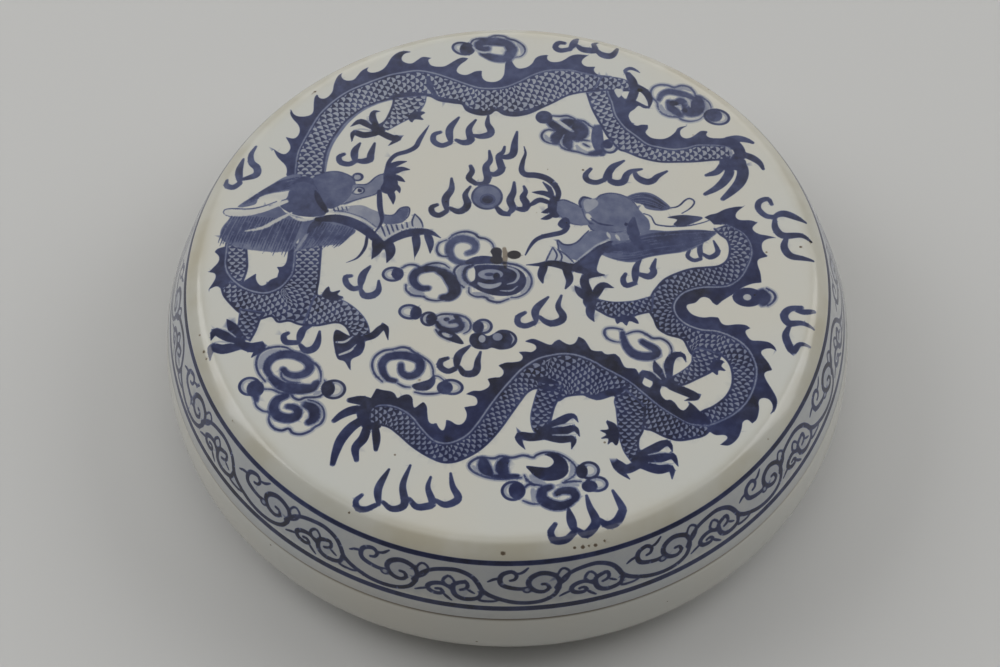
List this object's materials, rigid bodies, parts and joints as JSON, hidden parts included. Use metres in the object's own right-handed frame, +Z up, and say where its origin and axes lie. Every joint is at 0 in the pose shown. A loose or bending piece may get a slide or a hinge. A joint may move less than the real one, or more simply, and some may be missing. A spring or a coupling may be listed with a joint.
{
  "type": "porcelain box",
  "caption": "Round low porcelain box with a flat lift-off lid; blue-painted dragons chase a flaming pearl on the top above a scroll band, and a plain white base stands on a foot ring.",
  "frame": {"origin": "centre of the foot ring on the table", "axes": "+Z up the box's axis, through the lid; +Y away from the viewer who faces the dragons the right way up"},
  "size_m": [0.2, 0.2, 0.052],
  "materials": {
    "plain_glaze": "clear glossy glaze over white porcelain, bare fired clay on the ledge and the foot ring",
    "painted_glaze": "cobalt blue painting under a clear glossy glaze on white porcelain"
  },
  "bodies": {
    "base": {"base": "plain_glaze"},
    "lid": {"lid": "painted_glaze"}
  },
  "joints": [
    {"name": "lid_lift", "type": "slide", "parent": "base", "child": "lid", "axis": [0, 0, 1], "range_m": [0, 0.08]}
  ]
}
